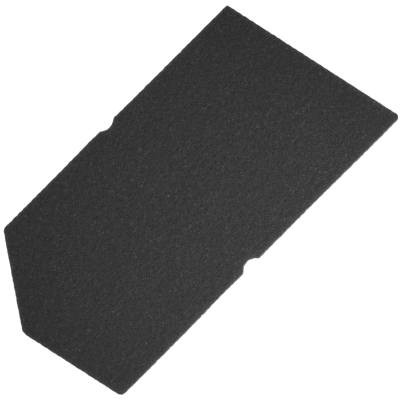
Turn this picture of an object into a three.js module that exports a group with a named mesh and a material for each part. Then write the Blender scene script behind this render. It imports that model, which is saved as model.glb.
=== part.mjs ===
// Flat foam pad for the air filter of a small engine: one piece, die cut from open-cell foam sheet.
//
// The pad lies on the plane z = 0. X runs along its two long edges, the front edge (low Y) and
// the rear edge (high Y), and Z through its thickness. The origin is the middle of the bounding
// box's underside. Both ends lean the same way, the rear left corner is cut off straight, and a
// shallow round notch in each long edge clears a screw boss of the filter case.
// All lengths are in millimetres.

import * as THREE from 'three';

// Overall size
const FRONT_EDGE = 200; // from corner to corner, before the corners are rounded
const PAD_WIDTH = 102.4; // between the front and the rear edge
const PAD_THICKNESS = 10;

// Ends: how far each one leans from square to the long edges
const RIGHT_END_LEAN = THREE.MathUtils.degToRad(11.9);
const LEFT_END_LEAN = THREE.MathUtils.degToRad(12.6);

// Corner that is cut off, measured from where the rear edge and the left end would meet
const CUT_ALONG_REAR_EDGE = 40.2;
const CUT_ALONG_LEFT_END = 45.9;

// Rounding of the outline's corners, seen from above
const FRONT_LEFT_RADIUS = 2.2;
const FRONT_RIGHT_RADIUS = 1.4;
const REAR_RIGHT_RADIUS = 1.1;
const CUT_REAR_RADIUS = 3.4;
const CUT_LEFT_RADIUS = 5.6;

// Notches that clear the screw bosses
const NOTCH_RADIUS = 6.1;
const NOTCH_LIP_RADIUS = 2.3;
const FRONT_NOTCH_DEPTH = 3.05;
const REAR_NOTCH_DEPTH = 2.05;
const FRONT_NOTCH_FROM_LEFT = 93.1; // from the front left corner, along X
const REAR_NOTCH_FROM_LEFT = 91.9; // from the front left corner too

// How finely the round stretches are cut into straight ones
const STEPS_PER_ARC = 8;

// Corners of the outline before rounding, anticlockwise from the front left one at (0, 0)
function padCorners() {
  const rearRightX = FRONT_EDGE - PAD_WIDTH * Math.tan(RIGHT_END_LEAN);
  const rearLeftX = -PAD_WIDTH * Math.tan(LEFT_END_LEAN);
  const rearLeft = new THREE.Vector2(rearLeftX, PAD_WIDTH);
  const downLeftEnd = new THREE.Vector2(Math.sin(LEFT_END_LEAN), -Math.cos(LEFT_END_LEAN));
  const cutOnRear = rearLeft.clone().add(new THREE.Vector2(CUT_ALONG_REAR_EDGE, 0));
  const cutOnLeft = rearLeft.clone().addScaledVector(downLeftEnd, CUT_ALONG_LEFT_END);
  return {
    frontLeft: new THREE.Vector2(0, 0),
    frontRight: new THREE.Vector2(FRONT_EDGE, 0),
    rearRight: new THREE.Vector2(rearRightX, PAD_WIDTH),
    cutOnRear,
    cutOnLeft,
  };
}

// Carries the outline round a corner with an arc that touches the edges on both sides of it
function roundCorner(outline, before, corner, after, radius) {
  const toBefore = before.clone().sub(corner).normalize();
  const toAfter = after.clone().sub(corner).normalize();
  const halfAngle = Math.acos(toBefore.dot(toAfter)) / 2;
  const middle = toBefore.clone().add(toAfter).normalize();
  const centre = corner.clone().addScaledVector(middle, radius / Math.sin(halfAngle));
  const start = corner.clone().addScaledVector(toBefore, radius / Math.tan(halfAngle)).sub(centre);
  const end = corner.clone().addScaledVector(toAfter, radius / Math.tan(halfAngle)).sub(centre);
  outline.absarc(centre.x, centre.y, radius, start.angle(), end.angle(), false);
}

// Cuts a notch into a straight edge that runs along X, in the direction of travel (1 or -1).
// The boss circle's centre lies outside the edge, and a lip arc joins each side to the edge.
function cutNotch(outline, edgeY, middleX, depth, travel) {
  const bossOut = NOTCH_RADIUS - depth;
  const lipRise = bossOut + NOTCH_LIP_RADIUS;
  const lipRun = Math.sqrt((NOTCH_RADIUS + NOTCH_LIP_RADIUS) ** 2 - lipRise ** 2);
  const lean = Math.atan2(lipRun, lipRise);
  const intoPad = travel * Math.PI / 2;
  const outward = -intoPad;
  const lipY = edgeY + travel * NOTCH_LIP_RADIUS;
  const bossY = edgeY - travel * bossOut;
  outline.absarc(middleX - travel * lipRun, lipY, NOTCH_LIP_RADIUS, outward, outward + lean, false);
  outline.absarc(middleX, bossY, NOTCH_RADIUS, intoPad + lean, intoPad - lean, true);
  outline.absarc(middleX + travel * lipRun, lipY, NOTCH_LIP_RADIUS, outward - lean, outward, false);
}

function padOutline() {
  const { frontLeft, frontRight, rearRight, cutOnRear, cutOnLeft } = padCorners();
  const outline = new THREE.Shape();
  roundCorner(outline, cutOnLeft, frontLeft, frontRight, FRONT_LEFT_RADIUS);
  cutNotch(outline, 0, FRONT_NOTCH_FROM_LEFT, FRONT_NOTCH_DEPTH, 1);
  roundCorner(outline, frontLeft, frontRight, rearRight, FRONT_RIGHT_RADIUS);
  roundCorner(outline, frontRight, rearRight, cutOnRear, REAR_RIGHT_RADIUS);
  cutNotch(outline, PAD_WIDTH, REAR_NOTCH_FROM_LEFT, REAR_NOTCH_DEPTH, -1);
  roundCorner(outline, rearRight, cutOnRear, cutOnLeft, CUT_REAR_RADIUS);
  roundCorner(outline, cutOnRear, cutOnLeft, frontLeft, CUT_LEFT_RADIUS);
  outline.closePath();
  return outline;
}

// The sheet is cut square through its thickness, and stands on z = 0 about the middle of its box
function foamPad() {
  const cut = { depth: PAD_THICKNESS, curveSegments: STEPS_PER_ARC, bevelEnabled: false };
  const geometry = new THREE.ExtrudeGeometry(padOutline(), cut);
  geometry.computeBoundingBox();
  const middle = geometry.boundingBox.getCenter(new THREE.Vector3());
  geometry.translate(-middle.x, -middle.y, 0);
  const foam = new THREE.MeshStandardMaterial({ color: 0x3a3a3a, roughness: 0.95, metalness: 0 });
  const pad = new THREE.Mesh(geometry, foam);
  pad.name = 'foam_pad';
  return pad;
}

const airFilterPad = new THREE.Group();
airFilterPad.add(foamPad());

export default airFilterPad;
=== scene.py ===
"""Flat foam pad for the air filter of a small engine, with its floor, lights and camera."""

import math

import bmesh
import bpy
import numpy as np
from bpy.props import FloatProperty, FloatVectorProperty, IntProperty, PointerProperty
from mathutils import Matrix, Vector
from mathutils.geometry import delaunay_2d_cdt


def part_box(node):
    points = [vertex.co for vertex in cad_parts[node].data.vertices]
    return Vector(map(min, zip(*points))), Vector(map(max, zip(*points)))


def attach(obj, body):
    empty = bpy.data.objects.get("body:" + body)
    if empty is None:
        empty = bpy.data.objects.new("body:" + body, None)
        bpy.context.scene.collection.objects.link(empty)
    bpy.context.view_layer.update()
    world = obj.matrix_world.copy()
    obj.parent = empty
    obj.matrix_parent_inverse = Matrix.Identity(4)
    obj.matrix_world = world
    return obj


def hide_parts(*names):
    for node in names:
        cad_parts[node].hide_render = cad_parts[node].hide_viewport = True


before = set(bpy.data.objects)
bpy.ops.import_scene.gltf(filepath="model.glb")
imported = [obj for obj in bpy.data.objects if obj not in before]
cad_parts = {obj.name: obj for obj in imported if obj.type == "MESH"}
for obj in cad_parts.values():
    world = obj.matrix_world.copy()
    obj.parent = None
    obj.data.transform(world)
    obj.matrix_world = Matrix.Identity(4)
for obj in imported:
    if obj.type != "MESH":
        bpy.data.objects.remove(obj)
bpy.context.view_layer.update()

bl_info = {
    "name": "Air Filter Foam Pad",
    "version": (1, 0, 0),
    "blender": (4, 5, 0),
    "location": "3D View > Sidebar > Foam Pad",
    "description": "Builds a die-cut open-cell foam pad and a plain studio around it",
    "category": "Object",
}

PAD_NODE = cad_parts["foam_pad"]
PAD_LOW, PAD_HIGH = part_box("foam_pad")
PAD_THICKNESS = PAD_HIGH.z - PAD_LOW.z
MM = 0.001

TOP, BOTTOM, SIDE = range(3)  # the three faces of the sheet

# The slow wander of the two long edges: middle along X, reach, and height as a share of the setting
FRONT_HOLLOWS = (
    (-21 * MM, 12 * MM, 1.0),
    (40 * MM, 24 * MM, 0.35),
    (86 * MM, 22 * MM, -0.6),
    (-72 * MM, 40 * MM, -1.3),
)
REAR_SWELLS = ((-9 * MM, 22 * MM, 1.0),)
REAR_SWELL_BASE = 0.4  # how far the rest of the rear edge lies behind, as a share of the setting

# The quick waver of the whole cut, as waves round the outline
WAVER_WAVES = 14
WAVER_TURNS = (40, 190)  # fewest and most turns of a wave in one round

# The slow ripple of a face
RIPPLE_WAVES = 6
RIPPLE_LENGTHS = (28 * MM, 75 * MM)
RIPPLE_HEIGHT = 4  # about the most that the waves add up to

# Scatter of the cells
NOWHERE = 1e3  # a place far outside the pad
SCATTER_ROUNDS = 6  # enough to leave few gaps between the cells
RIM_CLEARANCE = 0.7  # least distance from a rim to the middle of a cell, in cell sizes
SEAM_STEP = 1.4  # distance between two points on the seam of the sides, in cell sizes

# What varies from cell to cell
CELL_DEPTHS = (0.45, 1.45)  # in usual depths
PORE_LEVELS = (-0.25, 0.2)  # at the bottom of a cell, where 0 is pore, painted in shade, and 1 is strut
STRUT_LEVELS = (0.85, 1.1)  # at a junction of struts
RIM_LEVELS = (0.35, 1.0)  # along a rim
TONE_SHAPE, TONE_SCALE = 0.5, 1.9  # random tone: most cells are dark, and the few pale ones are painted glints
PAINTED_RIM_LIGHT_REACH = 1.4 * MM  # how far the painted rim light reaches into a face

# The flat map that the finish is laid out on
MAP_GAP = 2 * MM
MAP_STRIPS = 3  # the sides are cut into this many strips

# Sizes in the foam's finish
RAGGED_SIZE = 0.45 * MM  # of the bites out of the struts' edges
WEB_SIZE = 0.62 * MM  # of the openings between the finer struts
PATCH_SIZE = 1.0 * MM  # of patches in a slightly different grey
CLOUD_SIZE = 26 * MM  # of the wide, faint ones
SKIN_SIZE = 0.9 * MM  # of the stretches of strut that have kept their shine
RELIEF_SIZE = 0.22 * MM  # of the roughest grain


# ---------------------------------------------------------------- sizes and colours

class FoamPadSettings(bpy.types.PropertyGroup):
    """Sizes of the foam and of what the die does to it."""

    cell_size: FloatProperty(
        name="Cell size",
        description="Least distance between the middles of two cells; most are 1.5 times as far apart",
        default=0.89 * MM, min=0.5 * MM, max=5 * MM, precision=5, subtype="DISTANCE", unit="LENGTH",
    )
    cell_depth: FloatProperty(
        name="Cell depth",
        description="Usual depth of a cell that the cut has opened",
        default=0.26 * MM, min=0, max=2 * MM, precision=5, subtype="DISTANCE", unit="LENGTH",
    )
    cell_unevenness: FloatProperty(
        name="Cell unevenness",
        description="How far under the face the lowest cells lie",
        default=0.24 * MM, min=0, max=1 * MM, precision=5, subtype="DISTANCE", unit="LENGTH",
    )
    strut_drop: FloatProperty(
        name="Strut drop",
        description="How far the lowest torn struts lie under the face",
        default=0.12 * MM, min=0, max=1 * MM, precision=5, subtype="DISTANCE", unit="LENGTH",
    )
    rim_step: FloatProperty(
        name="Rim step",
        description="Distance between two points along the cut rim",
        default=0.62 * MM, min=0.3 * MM, max=3 * MM, precision=5, subtype="DISTANCE", unit="LENGTH",
    )
    rim_softness: FloatProperty(
        name="Rim softness",
        description="How far the rim is rounded down",
        default=0.16 * MM, min=0, max=1 * MM, precision=5, subtype="DISTANCE", unit="LENGTH",
    )
    rim_fray: FloatProperty(
        name="Rim fray",
        description="How far single points of the rim stand in or out",
        default=0.035 * MM, min=0, max=0.5 * MM, precision=5, subtype="DISTANCE", unit="LENGTH",
    )
    # Painted light: the rims and the strip next to them are made paler to stand for the light along
    # the cut edges
    painted_rim_light: FloatProperty(
        name="Rim paleness",
        description="How much paler the struts are that the die has pinched along the rim",
        default=5.2, min=0, max=10,
    )
    side_hollow: FloatProperty(
        name="Side hollow",
        description="How far the cut sides draw in at half the thickness",
        default=0.35 * MM, min=0, max=2 * MM, precision=5, subtype="DISTANCE", unit="LENGTH",
    )
    edge_waver: FloatProperty(
        name="Edge waver",
        description="How far the cut edges wander over a few millimetres",
        default=0.05 * MM, min=0, max=1 * MM, precision=5, subtype="DISTANCE", unit="LENGTH",
    )
    front_hollow: FloatProperty(
        name="Front edge hollow",
        description="How far the front edge draws in on both sides of its notch",
        default=0.26 * MM, min=0, max=2 * MM, precision=5, subtype="DISTANCE", unit="LENGTH",
    )
    rear_swell: FloatProperty(
        name="Rear edge swell",
        description="How far the rear edge stands out on both sides of its notch",
        default=0.30 * MM, min=0, max=2 * MM, precision=5, subtype="DISTANCE", unit="LENGTH",
    )
    face_ripple: FloatProperty(
        name="Face ripple",
        description="Depth of the slow unevenness of the two faces",
        default=0.08 * MM, min=0, max=1 * MM, precision=5, subtype="DISTANCE", unit="LENGTH",
    )
    seed: IntProperty(
        name="Seed",
        description="Another number gives another scatter of cells",
        default=7, min=0,
    )


class FoamFinish(bpy.types.PropertyGroup):
    """Colours and roughness of the foam, with painted shade in its pores."""

    strut_colour: FloatVectorProperty(
        name="Strut colour",
        description="Colour of the struts that the cut has laid open",
        default=(0.053, 0.053, 0.053), min=0, max=1, size=3, subtype="COLOR",
    )
    web_colour: FloatVectorProperty(
        name="Web colour",
        description="Colour of the finer struts that show inside the cells",
        default=(0.052, 0.052, 0.052), min=0, max=1, size=3, subtype="COLOR",
    )
    # Painted shade: the pores get a darker colour for the shade deep inside the cells
    pore_shade_colour: FloatVectorProperty(
        name="Pore colour",
        description="Colour deep inside the cells",
        default=(0.026, 0.026, 0.026), min=0, max=1, size=3, subtype="COLOR",
    )
    strut_roughness: FloatProperty(
        name="Strut roughness",
        description="Roughness of the smooth skin on the struts",
        default=0.28, min=0, max=1, subtype="FACTOR",
    )
    pore_roughness: FloatProperty(
        name="Pore roughness",
        description="Roughness deep inside the cells",
        default=0.95, min=0, max=1, subtype="FACTOR",
    )


class StageSettings(bpy.types.PropertyGroup):
    """Floor, lights and camera."""

    floor_width: FloatProperty(
        name="Floor width",
        description="Side of the square floor",
        default=6.0, min=1, subtype="DISTANCE", unit="LENGTH",
    )
    floor_colour: FloatVectorProperty(
        name="Floor colour",
        description="Colour of the floor",
        default=(0.90, 0.90, 0.90), min=0, max=1, size=3, subtype="COLOR",
    )
    floor_glow: FloatProperty(
        name="Floor glow",
        description="Light that comes up through the floor, as on a light table",
        default=0.95, min=0,
    )
    sky_strength: FloatProperty(
        name="Sky strength",
        description="Soft light from overhead",
        default=0.23, min=0,
    )
    horizon_strength: FloatProperty(
        name="Horizon strength",
        description="Brightness of the white backdrop all round",
        default=1.02, min=0,
    )
    key_power: FloatProperty(
        name="Key light power",
        description="Power of the soft light low in front of the pad",
        default=30.2, min=0, subtype="POWER", unit="POWER",
    )
    key_radius: FloatProperty(
        name="Key light radius",
        description="Radius of the soft light; a larger one blurs its shadows",
        default=0.06, min=0.001, subtype="DISTANCE", unit="LENGTH",
    )
    key_spread: FloatProperty(
        name="Key light spread",
        description="Angle of the soft light's cone",
        default=math.radians(31), min=0.01, max=math.pi, subtype="ANGLE", unit="ROTATION",
    )
    key_place: FloatVectorProperty(
        name="Key light place",
        description="Where the soft light stands",
        default=(0.057, -0.70, 0.42), size=3, subtype="XYZ", unit="LENGTH",
    )
    key_aim: FloatVectorProperty(
        name="Key light aim",
        description="Point that the soft light is turned to",
        default=(0.014, -0.165, 0.01), size=3, subtype="XYZ", unit="LENGTH",
    )
    camera_lens: FloatProperty(
        name="Lens",
        description="Focal length of the camera in millimetres",
        default=300, min=10,
    )
    camera_height: FloatProperty(
        name="Camera elevation",
        description="Angle of the camera above the floor, seen from the front edge",
        default=math.radians(84.4), subtype="ANGLE", unit="ROTATION",
    )
    camera_roll: FloatProperty(
        name="Camera roll",
        description="Turn of the camera about its own line of sight",
        default=math.radians(-45.03), subtype="ANGLE", unit="ROTATION",
    )
    camera_distance: FloatProperty(
        name="Camera distance",
        description="From the camera to the point it looks at",
        default=1.6895, min=0.1, subtype="DISTANCE", unit="LENGTH",
    )
    camera_aim: FloatVectorProperty(
        name="Camera aim",
        description="Point on the pad's upper face that the camera looks at",
        default=(4.9 * MM, -9.67 * MM, PAD_HIGH.z), size=3, subtype="XYZ", unit="LENGTH",
    )


# ---------------------------------------------------------------- outline and cut edges

def cad_outline(node):
    """The pad's outline seen from above, anticlockwise: the rim of the CAD solid's top face."""
    solid = bmesh.new()
    solid.from_mesh(node.data)
    bmesh.ops.remove_doubles(solid, verts=solid.verts, dist=0.001 * MM)
    solid.normal_update()
    following = {}
    for face in solid.faces:
        if face.normal.z < 0.5:
            continue
        for loop in face.loops:
            if any(other.normal.z < 0.5 for other in loop.edge.link_faces):
                following[loop.vert] = loop.link_loop_next.vert
    start = min(following, key=lambda vert: vert.co.x + vert.co.y)
    rim = [start]
    while following[rim[-1]] != start:
        rim.append(following[rim[-1]])
    outline = np.array([vert.co.xy[:] for vert in rim])
    solid.free()
    if len(outline) != len(following):
        raise RuntimeError("the pad's outline isn't one closed line")
    return outline


def even_points(outline, step):
    """Evenly spaced points along a closed outline, and the way along it to each."""
    closed = np.vstack([outline, outline[:1]])
    way = np.concatenate([[0], np.cumsum(np.linalg.norm(np.diff(closed, axis=0), axis=1))])
    count = round(way[-1] / step)
    along = np.arange(count) * way[-1] / count
    points = np.column_stack([np.interp(along, way, closed[:, axis]) for axis in range(2)])
    return points, along, way[-1]


def outward_normals(points):
    """Unit normals that point out of an anticlockwise outline."""
    forward = np.roll(points, -1, axis=0) - np.roll(points, 1, axis=0)
    normals = np.column_stack([forward[:, 1], -forward[:, 0]])
    return normals / np.linalg.norm(normals, axis=1, keepdims=True)


def swells(where, bumps):
    """The sum of smooth bumps, each with a middle, a reach and a height."""
    heights = np.zeros(len(where))
    for middle, reach, height in bumps:
        heights += height * np.exp(-(((where - middle) / reach) ** 2))
    return heights


def edge_wander(points, normals, along, length, pad, rng):
    """How far the die let each point of the edge stand out."""
    x = points[:, 0]
    front = np.clip(-normals[:, 1], 0, 1) ** 2 * (points[:, 1] < 0)
    rear = np.clip(normals[:, 1], 0, 1) ** 2 * (points[:, 1] > 0.9 * PAD_HIGH.y)
    hollow = swells(x, FRONT_HOLLOWS)
    proud = swells(x, REAR_SWELLS) - REAR_SWELL_BASE
    wander = rear * proud * pad.rear_swell - front * hollow * pad.front_hollow
    turns = rng.integers(*WAVER_TURNS, WAVER_WAVES)
    phases = rng.uniform(0, 2 * math.pi, WAVER_WAVES)
    waves = np.sin(2 * math.pi * np.outer(along / length, turns) + phases).sum(axis=1)
    return wander + waves / math.sqrt(WAVER_WAVES / 2) * pad.edge_waver


def face_ripple(points, rng):
    """Slow unevenness of a face, about -1 to 1, from a few waves that cross it."""
    heights = np.zeros(len(points))
    for _ in range(RIPPLE_WAVES):
        angle, phase = rng.uniform(0, 2 * math.pi, 2)
        wave = 2 * math.pi / rng.uniform(*RIPPLE_LENGTHS)
        heights += np.sin(wave * (points @ [math.cos(angle), math.sin(angle)]) + phase)
    return heights / RIPPLE_HEIGHT


# ---------------------------------------------------------------- cells

def scattered(low, high, closest, rng):
    """Middles of cells over a rectangle, in no order and no closer to each other than is given.

    Each square of a grid holds one middle at most. Every round tries a new spot in each empty
    square, and keeps it if no kept one, and no other try of higher rank, lies too near.
    """
    square = closest / math.sqrt(2)
    low = np.array(low)
    count = np.ceil((np.array(high) - low) / square).astype(int)
    corners = np.stack(np.meshgrid(*(np.arange(n) for n in count), indexing="ij"), axis=2)
    kept = np.full((*(count + 4), 2), NOWHERE)
    core = (slice(2, -2), slice(2, -2))
    steps = [(i, j) for i in range(5) for j in range(5) if (i, j) != (2, 2)]
    for _ in range(SCATTER_ROUNDS):
        tries = np.full_like(kept, -NOWHERE)
        empty = kept[core][..., 0] == NOWHERE
        tries[core][empty] = (corners[empty] + rng.uniform(0, 1, (empty.sum(), 2))) * square
        rank = rng.uniform(0, 1, kept.shape[:2])
        spot, own_rank = tries[core], rank[core]
        for i, j in steps:
            window = (slice(i, i + count[0]), slice(j, j + count[1]))
            near_kept = ((spot - kept[window]) ** 2).sum(axis=2) < closest ** 2
            near_try = ((spot - tries[window]) ** 2).sum(axis=2) < closest ** 2
            empty &= ~near_kept & ~(near_try & (rank[window] > own_rank))
        kept[core][empty] = spot[empty]
    middles = kept[core].reshape(-1, 2)
    return low + middles[middles[:, 0] != NOWHERE]


def distance_inside(points, outline):
    """Distance from each point to the outline, negative outside it."""
    start = outline
    end = np.roll(outline, -1, axis=0)
    run = end - start
    distances = np.empty(len(points))
    for block in np.array_split(np.arange(len(points)), len(points) // 1500 + 1):
        to_point = points[block, None] - start
        share = np.clip((to_point * run).sum(axis=2) / (run * run).sum(axis=1), 0, 1)
        nearest = np.linalg.norm(to_point - share[..., None] * run, axis=2).min(axis=1)
        x, y = points[block, 0, None], points[block, 1, None]
        crosses = (start[:, 1] > y) != (end[:, 1] > y)
        with np.errstate(divide="ignore", invalid="ignore"):
            reach = start[:, 0] + (y - start[:, 1]) * run[:, 0] / run[:, 1]
        inside = (crosses & (x < reach)).sum(axis=1) % 2 == 1
        distances[block] = np.where(inside, nearest, -nearest)
    return distances


def triangles_between(rim, middles):
    """Triangles that join a closed rim and the cells inside it, anticlockwise."""
    flat = [Vector(point) for point in np.vstack([rim, middles]) / MM]
    edges = [(i, (i + 1) % len(rim)) for i in range(len(rim))]
    points, _, faces, _, _, _ = delaunay_2d_cdt(flat, edges, [], 1, 1e-6)
    if len(points) != len(flat):
        raise RuntimeError("two cells fell on the same spot")
    corners = np.array(faces)
    a, b, c = (np.array([flat[i] for i in corners[:, k]]) for k in range(3))
    turn = (b[:, 0] - a[:, 0]) * (c[:, 1] - a[:, 1]) - (b[:, 1] - a[:, 1]) * (c[:, 0] - a[:, 0])
    corners[turn < 0] = corners[turn < 0][:, ::-1]
    return corners


class Sheet:
    """The foam's surface while it is made: points, triangles and the face that each lies on."""

    def __init__(self):
        self.places = np.zeros((0, 3))
        self.normals = np.zeros((0, 3))
        self.along = np.zeros(0)
        self.painted_rim_light_share = np.zeros(0)
        self.triangles = np.zeros((0, 3), int)
        self.faces = np.zeros(0, int)

    def add_points(self, places, normals, along, rim_distance):
        """Adds points, given how far along the outline and how far from a rim they lie."""
        first = len(self.places)
        # How much of the painted rim light a point takes
        painted_rim_light_share = np.exp(-((rim_distance / PAINTED_RIM_LIGHT_REACH) ** 2))
        self.places = np.vstack([self.places, places])
        self.normals = np.vstack([self.normals, np.broadcast_to(normals, places.shape)])
        self.along = np.concatenate([self.along, np.broadcast_to(along, len(places))])
        self.painted_rim_light_share = np.concatenate([self.painted_rim_light_share, np.broadcast_to(painted_rim_light_share, len(places))])
        return np.arange(first, first + len(places))

    def add_triangles(self, triangles, face):
        self.triangles = np.vstack([self.triangles, triangles])
        self.faces = np.concatenate([self.faces, np.full(len(triangles), face)])


def open_sheet(pad, rng):
    """The foam's surface with one point for each cell, and which of its points are on a rim."""
    outline = cad_outline(PAD_NODE)
    points, along, length = even_points(outline, pad.rim_step)
    normals = outward_normals(points)
    points = points + normals * edge_wander(points, normals, along, length, pad, rng)[:, None]
    normals = outward_normals(points)
    count = len(points)
    low, high, thickness = PAD_LOW.z, PAD_HIGH.z, PAD_THICKNESS
    clear = RIM_CLEARANCE * pad.cell_size

    sheet = Sheet()
    rims = {}
    for face, level, up in ((TOP, high, 1), (BOTTOM, low, -1)):
        inset = pad.rim_fray * rng.standard_normal(count)
        drop = pad.rim_softness + pad.rim_fray * rng.uniform(0, 1, count)
        spots = np.column_stack([points - normals * inset[:, None], level - up * drop])
        lean = np.column_stack([normals, np.full(count, float(up))]) / math.sqrt(2)
        rims[face] = sheet.add_points(spots, lean, along, 0.0)
    rim_points = count * 2

    for face, level, up in ((TOP, high, 1), (BOTTOM, low, -1)):
        rim = sheet.places[rims[face], :2]
        middles = scattered(rim.min(axis=0), rim.max(axis=0), pad.cell_size, rng)
        rim_distance = distance_inside(middles, rim)
        inside = rim_distance > clear
        middles, rim_distance = middles[inside], rim_distance[inside]
        ripple = up * (face_ripple(middles, rng) - 1) * pad.face_ripple / 2
        spots = np.column_stack([middles, level + ripple])
        cells = sheet.add_points(spots, (0, 0, up), 0, rim_distance)
        order = np.concatenate([rims[face], cells])
        found = triangles_between(rim, middles)
        if face == BOTTOM:
            found = found[:, ::-1]
        sheet.add_triangles(order[found], face)

    # The sides, rolled out flat: the way along the outline by the height
    rows = max(2, round(thickness / (SEAM_STEP * pad.cell_size)))
    levels = np.arange(1, rows) / rows * thickness
    seam = np.column_stack([np.zeros(len(levels)), levels])
    middles = scattered((0, 0), (length, thickness), pad.cell_size, rng)
    sideways = (middles[:, 0] > clear) & (middles[:, 0] < length - clear)
    upright = (middles[:, 1] > clear) & (middles[:, 1] < thickness - clear)
    middles = middles[sideways & upright]

    def side_points(flat):
        where = np.concatenate([along, [length]])
        x, y, nx, ny = (
            np.interp(flat[:, 0], where, np.append(values, values[0]))
            for values in (points[:, 0], points[:, 1], normals[:, 0], normals[:, 1])
        )
        out = np.column_stack([nx, ny])
        out /= np.linalg.norm(out, axis=1, keepdims=True)
        middle = 1 - (2 * flat[:, 1] / thickness - 1) ** 2
        spots = np.column_stack([x, y]) - out * (middle * pad.side_hollow)[:, None]
        places = np.column_stack([spots, low + flat[:, 1]])
        rim_distance = np.minimum(flat[:, 1], thickness - flat[:, 1])
        level_out = np.column_stack([out, np.zeros(len(out))])
        return sheet.add_points(places, level_out, flat[:, 0], rim_distance)

    seam_ids = side_points(seam)
    cell_ids = side_points(middles)
    bottom_edge = np.column_stack([np.append(along, length), np.zeros(count + 1)])
    top_edge = np.column_stack([np.append(along, length), np.full(count + 1, thickness)])[::-1]
    far_seam = seam + (length, 0)
    edge = np.vstack([bottom_edge, far_seam, top_edge, seam[::-1]])
    edge_ids = np.concatenate([
        np.append(rims[BOTTOM], rims[BOTTOM][0]),
        seam_ids,
        np.append(rims[TOP], rims[TOP][0])[::-1],
        seam_ids[::-1],
    ])
    order = np.concatenate([edge_ids, cell_ids])
    sheet.add_triangles(order[triangles_between(edge, middles)], SIDE)
    return sheet, rim_points, length


def open_cells(sheet, rim_points):
    """Puts a strut junction in the middle of every triangle and joins it to its neighbours'.

    Each old point becomes the bottom of a cell with struts all round it. The rims keep their edges.
    """
    corners = sheet.triangles
    count = len(sheet.places)
    tail, head = corners.ravel(), np.roll(corners, -1, axis=1).ravel()
    owner = np.repeat(np.arange(len(corners)), 3)
    rising = tail < head
    rising_key = tail[rising] * count + head[rising]
    falling_key = head[~rising] * count + tail[~rising]
    rising_order, falling_order = np.argsort(rising_key), np.argsort(falling_key)
    if not np.array_equal(rising_key[rising_order], falling_key[falling_order]):
        raise RuntimeError("the foam's surface isn't closed")
    low, high = tail[rising][rising_order], head[rising][rising_order]
    left, right = owner[rising][rising_order], owner[~rising][falling_order]
    on_rim = sheet.faces[left] != sheet.faces[right]
    if (low[on_rim] >= rim_points).any() or (high[on_rim] >= rim_points).any():
        raise RuntimeError("two faces of the foam meet away from a rim")
    a, b, c, d = (values[~on_rim] for values in (low, high, left + count, right + count))
    e, f, g, h = (values[on_rim] for values in (low, high, left + count, right + count))
    triangles = np.vstack([
        np.column_stack([a, d, c]),
        np.column_stack([d, b, c]),
        np.column_stack([e, f, g]),
        np.column_stack([f, e, h]),
    ])
    side = sheet.faces[left]
    faces = np.concatenate([side[~on_rim], side[~on_rim], side[on_rim], sheet.faces[right][on_rim]])
    return triangles, faces


def foam_surface(pad):
    """The finished foam: its points and triangles, and what each of them carries for the finish."""
    rng = np.random.default_rng(pad.seed)
    sheet, rim_points, length = open_sheet(pad, rng)
    triangles, faces = open_cells(sheet, rim_points)
    corners = sheet.triangles
    cells = len(sheet.places)
    torn = pad.cell_unevenness * rng.uniform(0, 1, cells)
    torn[:rim_points] = 0
    sheet.places -= sheet.normals * torn[:, None]

    junctions = sheet.places[corners].mean(axis=1)
    lean = sheet.normals[corners].sum(axis=1)
    flat_normals = np.array([(0, 0, 1), (0, 0, -1)])
    for face in (TOP, BOTTOM):
        lean[sheet.faces == face] = flat_normals[face]
    lean /= np.linalg.norm(lean, axis=1, keepdims=True)
    first = sheet.along[corners[:, :1]]
    steps = (sheet.along[corners] - first + length / 2) % length - length / 2
    junction_along = first[:, 0] + steps.mean(axis=1)

    depth = pad.cell_depth * rng.uniform(*CELL_DEPTHS, cells)
    depth[:rim_points] = 0
    drop = pad.strut_drop * rng.uniform(0, 1, len(junctions)) ** 2
    places = np.vstack([
        sheet.places - sheet.normals * depth[:, None],
        junctions - lean * drop[:, None],
    ])
    # Strut level: low at the cell bottoms, which the finish darkens with painted shade, and high at
    # the strut junctions
    level = np.concatenate([
        rng.uniform(*PORE_LEVELS, cells),
        rng.uniform(*STRUT_LEVELS, len(junctions)),
    ])
    level[:rim_points] = rng.uniform(*RIM_LEVELS, rim_points)
    # Random tone from point to point, its few pale points painted glints, plus painted rim light near
    # the rims
    painted_rim_light_share = np.concatenate([sheet.painted_rim_light_share, sheet.painted_rim_light_share[corners].mean(axis=1)])
    tone_and_painted_light = rng.gamma(TONE_SHAPE, TONE_SCALE, len(places)) + pad.painted_rim_light * painted_rim_light_share
    along = np.concatenate([sheet.along, junction_along])
    return places, triangles, faces, level, tone_and_painted_light, along, length, rim_points, cells


def bake_layout(places, triangles, faces, along, length):
    """Where each corner lies on the flat map: the two faces, and the sides in a few strips."""
    gap, strips = MAP_GAP, MAP_STRIPS
    width, depth = PAD_HIGH.x - PAD_LOW.x, PAD_HIGH.y - PAD_LOW.y
    span = 2 * depth + strips * PAD_THICKNESS + (strips + 3) * gap
    flat = places[triangles][..., :2] - (PAD_LOW.x, PAD_LOW.y)
    flat[..., 0] += (span - width) / 2
    flat[..., 1] += gap
    flat[faces == BOTTOM] += (0, depth + gap)
    on_side = faces == SIDE
    first = along[triangles[on_side][:, :1]]
    steps = (along[triangles[on_side]] - first + length / 2) % length - length / 2
    way = first + steps
    middle = way.mean(axis=1, keepdims=True)
    way -= np.floor(middle / length) * length
    strip = np.clip(np.floor(way.mean(axis=1) * strips / length), 0, strips - 1)[:, None]
    rise = places[triangles[on_side]][..., 2] - PAD_LOW.z
    flat[on_side] = np.stack([
        way - strip * length / strips + (span - length / strips) / 2,
        rise + 2 * depth + 3 * gap + strip * (PAD_THICKNESS + gap),
    ], axis=2)
    return flat / span


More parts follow.
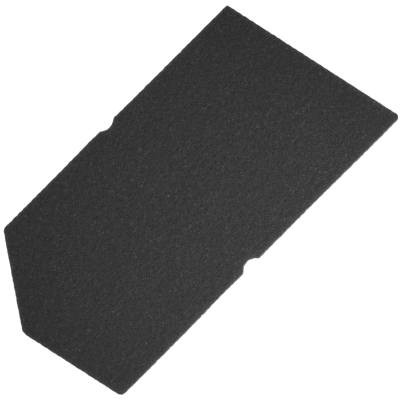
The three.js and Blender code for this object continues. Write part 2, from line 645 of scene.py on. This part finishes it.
def foam_mesh(pad):
    places, triangles, faces, level, tone_and_painted_light, along, length, rim_points, cells = foam_surface(pad)
    mesh = bpy.data.meshes.new("filter_foam_pad")
    mesh.vertices.add(len(places))
    mesh.vertices.foreach_set("co", places.ravel())
    mesh.loops.add(triangles.size)
    mesh.loops.foreach_set("vertex_index", triangles.ravel())
    mesh.polygons.add(len(triangles))
    mesh.polygons.foreach_set("loop_start", np.arange(0, triangles.size, 3))
    mesh.update(calc_edges=True)
    if mesh.validate():
        raise RuntimeError("the foam's mesh had faults")

    ends = np.empty(len(mesh.edges) * 2, np.int32)
    mesh.edges.foreach_get("vertices", ends)
    ends = ends.reshape(-1, 2)
    crest = (ends >= cells).all(axis=1) | (ends < rim_points).all(axis=1)
    mesh.attributes.new("sharp_edge", "BOOLEAN", "EDGE").data.foreach_set("value", crest)
    mesh.attributes.new("strut", "FLOAT", "POINT").data.foreach_set("value", level)
    mesh.attributes.new("tone_and_painted_light", "FLOAT", "POINT").data.foreach_set("value", tone_and_painted_light)
    layout = bake_layout(places, triangles, faces, along, length)
    mesh.uv_layers.new(name="OFBake").data.foreach_set("uv", layout.ravel())
    mesh.polygons.foreach_set("use_smooth", np.ones(len(triangles), bool))
    mesh.update()
    return mesh


# ---------------------------------------------------------------- materials

class Graph:
    """The nodes of a material or a world, made one call at a time."""

    def __init__(self, owner):
        owner.use_nodes = True
        self.owner = owner
        self.tree = owner.node_tree
        self.tree.nodes.clear()

    def node(self, kind, settings=None, sockets=None, output=0):
        """Adds a node, sets it up, fills its sockets and returns one of its outputs."""
        made = self.tree.nodes.new(kind)
        for key, value in (settings or {}).items():
            setattr(made, key, value)
        for key, value in (sockets or {}).items():
            if isinstance(value, Wire):
                self.tree.links.new(value.socket, made.inputs[key])
            else:
                made.inputs[key].default_value = value
        return Wire(self, made.outputs[output]) if len(made.outputs) else None

    def maths(self, operation, *values):
        return self.node("ShaderNodeMath", {"operation": operation}, dict(enumerate(values)))

    def smooth_step(self, value, start, end):
        """0 before start, 1 after end, and a smooth rise between them."""
        settings = {"interpolation_type": "SMOOTHSTEP"}
        return self.node("ShaderNodeMapRange", settings, {0: value, 1: start, 2: end, 3: 0.0, 4: 1.0})

    def mix(self, share, first, second):
        """A colour that goes from the first to the second."""
        settings = {"data_type": "RGBA"}
        return self.node("ShaderNodeMix", settings, {0: share, 6: first, 7: second}, output=2)

    def scale(self, colour, by):
        """A colour made lighter or darker by a number."""
        settings = {"operation": "SCALE"}
        return self.node("ShaderNodeVectorMath", settings, {0: colour, 3: by})

    def noise(self, place, size, detail=2.0):
        """Soft noise in patches of about a given size, from about -0.2 to 0.2."""
        sockets = {"Vector": place, "Scale": 1 / size, "Detail": detail}
        return self.node("ShaderNodeTexNoise", None, sockets) - 0.5


class Wire:
    """An output socket that can be used in a sum, such as 1 - mask * 0.5."""

    def __init__(self, graph, socket):
        self.graph = graph
        self.socket = socket

    def __add__(self, other):
        return self.graph.maths("ADD", self, other)

    def __radd__(self, other):
        return self.graph.maths("ADD", other, self)

    def __sub__(self, other):
        return self.graph.maths("SUBTRACT", self, other)

    def __rsub__(self, other):
        return self.graph.maths("SUBTRACT", other, self)

    def __mul__(self, other):
        return self.graph.maths("MULTIPLY", self, other)

    def __rmul__(self, other):
        return self.graph.maths("MULTIPLY", other, self)


def filter_foam(finish):
    """Open-cell foam: struts that the cut has laid open, finer struts behind them, and pores darkened
    with painted shade.
    """
    g = Graph(bpy.data.materials.new("filter_foam"))
    place = g.node("ShaderNodeTexCoord", output="Object")
    strut = g.node("ShaderNodeAttribute", {"attribute_name": "strut"}, output="Fac")

    # The open struts, with ragged edges
    ragged = strut + g.noise(place, RAGGED_SIZE) * 0.5
    crest = g.smooth_step(ragged, 0.52, 0.86)
    # The finer struts between them, which run along the lines where small openings meet
    gap_width = g.node(
        "ShaderNodeTexVoronoi",
        {"feature": "DISTANCE_TO_EDGE"},
        {"Vector": place, "Scale": 1 / WEB_SIZE, "Randomness": 1.0},
    )
    web = (1 - g.smooth_step(gap_width, 0.05, 0.20)) * (1 - crest)

    # The foam's grey, darker and paler from cell to cell and from patch to patch; the vertex tone also
    # carries painted glints and painted rim light
    patches = g.noise(place, PATCH_SIZE, 3.0)
    clouds = g.noise(place, CLOUD_SIZE, 3.0)
    cell_tone_and_painted_light = g.node("ShaderNodeAttribute", {"attribute_name": "tone_and_painted_light"}, output="Fac")
    tone_and_painted_light = 0.88 + cell_tone_and_painted_light * 0.12 + patches * 0.4 + clouds * 0.1
    # Painted shade: the pore colour fills the cell bottoms and the openings between the finer struts
    colour = g.mix(web, (*finish.pore_shade_colour, 1), (*finish.web_colour, 1))
    colour = g.mix(crest, colour, (*finish.strut_colour, 1))
    colour = g.scale(colour, tone_and_painted_light)

    # Struts are a little smoother than pores, and shiny where they have kept their skin
    shine = crest * g.smooth_step(g.noise(place, SKIN_SIZE), 0.0, 0.22)
    bare_gain = 0.15
    skin_gain = finish.pore_roughness - finish.strut_roughness - bare_gain
    roughness = finish.pore_roughness - crest * bare_gain - shine * skin_gain

    relief = g.noise(place, RELIEF_SIZE, 3.0) * 0.5 + web * 0.5
    bump = g.node("ShaderNodeBump", None, {"Strength": 0.5, "Distance": 0.06 * MM, "Height": relief})
    surface = g.node(
        "ShaderNodeBsdfPrincipled",
        None,
        {
            "Base Color": colour,
            "Roughness": roughness,
            "Specular IOR Level": 0.3,
            "Normal": bump,
        },
    )
    g.node("ShaderNodeOutputMaterial", None, {"Surface": surface})
    return g.owner


def floor_finish(stage):
    g = Graph(bpy.data.materials.new("studio_floor"))
    surface = g.node(
        "ShaderNodeBsdfPrincipled",
        None,
        {
            "Base Color": (*stage.floor_colour, 1),
            "Roughness": 0.9,
            "Specular IOR Level": 0.1,
            "Emission Color": (1.0, 1.0, 1.0, 1),
            "Emission Strength": stage.floor_glow,
        },
    )
    g.node("ShaderNodeOutputMaterial", None, {"Surface": surface})
    return g.owner


def studio_sky(stage):
    """Even soft light from overhead, and a white backdrop along the horizon."""
    g = Graph(bpy.data.worlds.new("studio_sky"))
    direction = g.node("ShaderNodeTexCoord", output="Generated")
    height = g.node("ShaderNodeSeparateXYZ", None, {0: direction}, output="Z")
    overhead = g.smooth_step(height, 0.10, 0.40)
    strength = stage.horizon_strength + overhead * (stage.sky_strength - stage.horizon_strength)
    light = g.node("ShaderNodeBackground", None, {"Color": (1.0, 1.0, 1.0, 1), "Strength": strength})
    g.node("ShaderNodeOutputWorld", None, {"Surface": light})
    return g.owner


# ---------------------------------------------------------------- operators

class FOAMPAD_OT_add_pad(bpy.types.Operator):
    """Adds the die-cut pad of open-cell foam"""

    bl_idname = "foampad.add_pad"
    bl_label = "Add Foam Pad"
    bl_options = {"REGISTER", "UNDO"}

    def execute(self, context):
        scene = context.scene
        piece = bpy.data.objects.new("filter_foam_pad", foam_mesh(scene.foam_pad))
        scene.collection.objects.link(piece)
        piece.data.materials.append(filter_foam(scene.foam_finish))
        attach(piece, "root")
        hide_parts("foam_pad")
        return {"FINISHED"}


class FOAMPAD_OT_add_stage(bpy.types.Operator):
    """Adds the plain floor, the soft lights and the camera"""

    bl_idname = "foampad.add_stage"
    bl_label = "Add Stage"
    bl_options = {"REGISTER", "UNDO"}

    def execute(self, context):
        scene = context.scene
        stage = scene.foam_stage
        floor = self.add_floor(scene, stage)
        self.add_lights(scene, stage, floor)
        self.add_camera(scene, stage)
        scene.view_settings.view_transform = "Standard"
        return {"FINISHED"}

    def add_floor(self, scene, stage):
        plan = bmesh.new()
        bmesh.ops.create_grid(plan, x_segments=8, y_segments=8, size=stage.floor_width / 2)
        mesh = bpy.data.meshes.new("studio_floor")
        plan.to_mesh(mesh)
        plan.free()
        floor = bpy.data.objects.new("studio_floor", mesh)
        floor.location.z = PAD_LOW.z - 0.02 * MM
        mesh.materials.append(floor_finish(stage))
        scene.collection.objects.link(floor)
        return floor

    def add_lights(self, scene, stage, floor):
        scene.world = studio_sky(stage)
        lamp = bpy.data.lights.new("key_light", "SPOT")
        lamp.energy = stage.key_power
        lamp.shadow_soft_size = stage.key_radius
        lamp.spot_size = stage.key_spread
        lamp.spot_blend = 1.0
        key = bpy.data.objects.new("key_light", lamp)
        place, aim = Vector(stage.key_place), Vector(stage.key_aim)
        key.location = place
        key.rotation_euler = (aim - place).to_track_quat("-Z", "Y").to_euler()
        scene.collection.objects.link(key)
        # The floor takes no light from it, and so shows no shadow
        unlit = bpy.data.collections.new("not_lit_by_key_light")
        unlit.objects.link(floor)
        key.light_linking.receiver_collection = unlit
        unlit.collection_objects[0].light_linking.link_state = "EXCLUDE"

    def add_camera(self, scene, stage):
        lens = bpy.data.cameras.new("camera")
        lens.lens = stage.camera_lens
        lens.clip_start = 0.01
        lens.clip_end = 50
        camera = bpy.data.objects.new("camera", lens)
        tilt = Matrix.Rotation(math.pi / 2 - stage.camera_height, 4, "X")
        roll = Matrix.Rotation(stage.camera_roll, 4, "Z")
        back_off = Matrix.Translation((0, 0, stage.camera_distance))
        camera.matrix_world = Matrix.Translation(stage.camera_aim) @ tilt @ back_off @ roll
        scene.collection.objects.link(camera)
        scene.camera = camera


class FOAMPAD_PT_panel(bpy.types.Panel):
    """Lists the settings of the pad and of its stage"""

    bl_idname = "FOAMPAD_PT_panel"
    bl_label = "Foam Pad"
    bl_space_type = "VIEW_3D"
    bl_region_type = "UI"
    bl_category = "Foam Pad"

    def draw(self, context):
        for settings in (context.scene.foam_pad, context.scene.foam_finish, context.scene.foam_stage):
            box = self.layout.box()
            for name in settings.__annotations__:
                box.prop(settings, name)
        self.layout.operator(FOAMPAD_OT_add_pad.bl_idname)
        self.layout.operator(FOAMPAD_OT_add_stage.bl_idname)


CLASSES = (
    FoamPadSettings,
    FoamFinish,
    StageSettings,
    FOAMPAD_OT_add_pad,
    FOAMPAD_OT_add_stage,
    FOAMPAD_PT_panel,
)


def register():
    for cls in CLASSES:
        bpy.utils.register_class(cls)
    bpy.types.Scene.foam_pad = PointerProperty(type=FoamPadSettings)
    bpy.types.Scene.foam_finish = PointerProperty(type=FoamFinish)
    bpy.types.Scene.foam_stage = PointerProperty(type=StageSettings)


def unregister():
    del bpy.types.Scene.foam_stage
    del bpy.types.Scene.foam_finish
    del bpy.types.Scene.foam_pad
    for cls in reversed(CLASSES):
        bpy.utils.unregister_class(cls)


def main():
    register()
    bpy.ops.foampad.add_stage()
    bpy.ops.foampad.add_pad()


if __name__ == "__main__":
    main()
